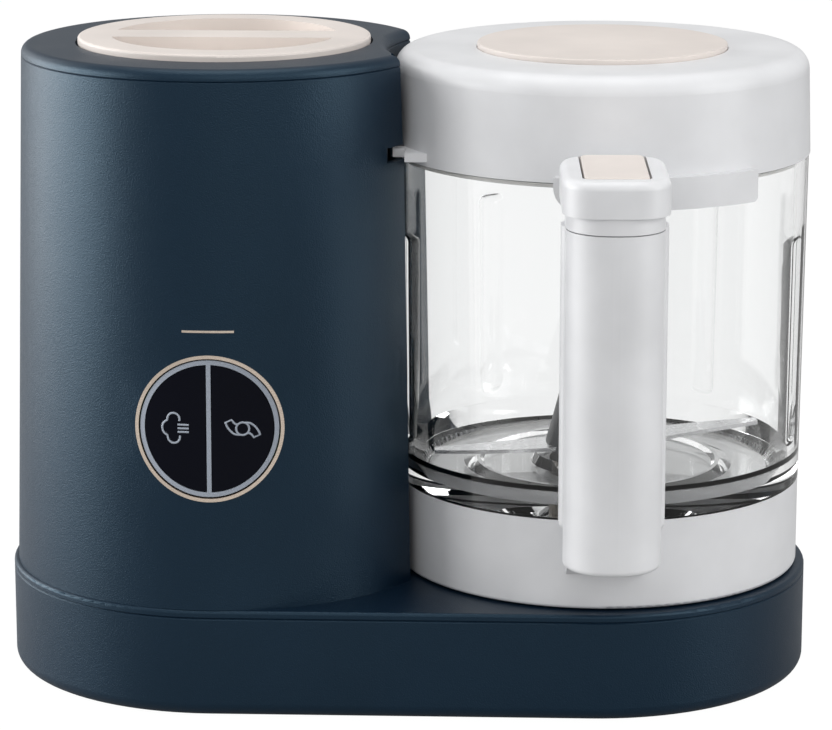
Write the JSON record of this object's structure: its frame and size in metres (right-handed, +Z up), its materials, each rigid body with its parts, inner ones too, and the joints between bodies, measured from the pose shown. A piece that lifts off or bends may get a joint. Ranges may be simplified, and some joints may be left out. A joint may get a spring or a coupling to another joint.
{
  "type": "baby food maker",
  "caption": "Counter-top steamer and blender with a water-tank tower, twin press keys, and a lidded glass bowl with blade and handle on a rounded base.",
  "frame": {"origin": "centre of the bounding box, on the surface that the feet stand on", "axes": "+X from the tower to the bowl, +Y to the back, +Z up"},
  "size_m": [0.298, 0.2198, 0.2376],
  "materials": {
    "navy_plastic": "fine satin texture",
    "cream_plastic": "satin",
    "white_plastic": "satin gloss",
    "rose_gold": "satin metallised",
    "grey_light": "satin",
    "black_key": "high gloss",
    "clear_glass": "clear",
    "steel": "brushed",
    "hub_grey": "matte",
    "rubber": "matte",
    "silicone": "satin",
    "motor_metal": "satin",
    "board_green": "satin",
    "brass": "turned",
    "aluminium": "cast"
  },
  "bodies": {
    "base": {"base_pan": "navy_plastic", "base_feet": "rubber", "base_screws": "steel", "cord_gland": "rubber", "upper_housing": "navy_plastic", "tower_top_cover": "navy_plastic", "bezel_ring": "rose_gold", "light_ring": "grey_light", "accent_line": "rose_gold", "control_board": "board_green", "key_switches": "hub_grey", "water_tank": "steel", "tank_gasket": "silicone", "heater_plate": "aluminium", "steam_pipe": "steel", "steam_nozzle": "rubber", "motor_body": "motor_metal", "motor_bracket": "steel", "drive_belt": "rubber", "lower_bearing": "brass", "upper_bearing": "brass"},
    "drive": {"drive_spindle": "steel", "drive_pulley": "aluminium", "drive_coupling": "hub_grey"},
    "motor_rotor": {"motor_shaft": "steel", "motor_pulley": "aluminium"},
    "steam_key": {"steam_key": "black_key"},
    "blend_key": {"blend_key": "black_key"},
    "bowl": {"glass_bowl": "clear_glass", "bowl_collar": "white_plastic", "collar_gasket": "silicone", "blade_bush": "brass", "handle_frame": "white_plastic", "handle_grip": "white_plastic", "handle_head": "white_plastic"},
    "blade": {"driven_coupling": "hub_grey", "blade_shaft": "steel", "blade_hub": "hub_grey", "cutting_blade": "steel"},
    "release": {"release_button": "cream_plastic"},
    "lid_carrier": {"lid_seal": "silicone"},
    "lid": {"lid_shell": "white_plastic", "lid_inlay": "cream_plastic"},
    "cap_carrier": {"cap_seal": "silicone"},
    "cap": {"tank_cap": "cream_plastic"}
  },
  "joints": [
    {"name": "drive_spin", "type": "hinge", "parent": "base", "child": "drive", "pos_m": [0.071, 0.02819, 0.02], "axis": [0, 0, 1], "continuous": true},
    {"name": "motor_spin", "type": "hinge", "parent": "base", "child": "motor_rotor", "pos_m": [-0.0675, 0.02819, 0.02], "axis": [0, 0, 1], "continuous": true},
    {"name": "steam_key_press", "type": "slide", "parent": "base", "child": "steam_key", "axis": [0, 1, 0], "range_m": [0, 0.0012], "stiffness_N_per_m": 800},
    {"name": "blend_key_press", "type": "slide", "parent": "base", "child": "blend_key", "axis": [0, 1, 0], "range_m": [0, 0.0012], "stiffness_N_per_m": 800},
    {"name": "bowl_lift", "type": "slide", "parent": "base", "child": "bowl", "axis": [0, 0, 1], "range_m": [0, 0.2]},
    {"name": "blade_spin", "type": "hinge", "parent": "bowl", "child": "blade", "pos_m": [0.071, 0.02819, 0.08], "axis": [0, 0, 1], "continuous": true},
    {"name": "release_press", "type": "slide", "parent": "bowl", "child": "release", "axis": [0, 0, -1], "range_m": [0, 0.003], "stiffness_N_per_m": 600},
    {"name": "lid_lift", "type": "slide", "parent": "bowl", "child": "lid_carrier", "axis": [0, 0, 1], "range_m": [0, 0.06]},
    {"name": "lid_turn", "type": "hinge", "parent": "lid_carrier", "child": "lid", "pos_m": [0.071, 0.02819, 0.2], "axis": [0, 0, 1], "range_deg": [0, 30]},
    {"name": "cap_lift", "type": "slide", "parent": "base", "child": "cap_carrier", "axis": [0, 0, 1], "range_m": [0, 0.05]},
    {"name": "cap_turn", "type": "hinge", "parent": "cap_carrier", "child": "cap", "pos_m": [-0.0675, 0.02819, 0.23], "axis": [0, 0, 1], "range_deg": [0, 90]}
  ],
  "couplings": [
    {"joint": "drive_spin", "follows": "motor_spin", "ratio": 0.4},
    {"joint": "blade_spin", "follows": "motor_spin", "ratio": 0.4}
  ]
}
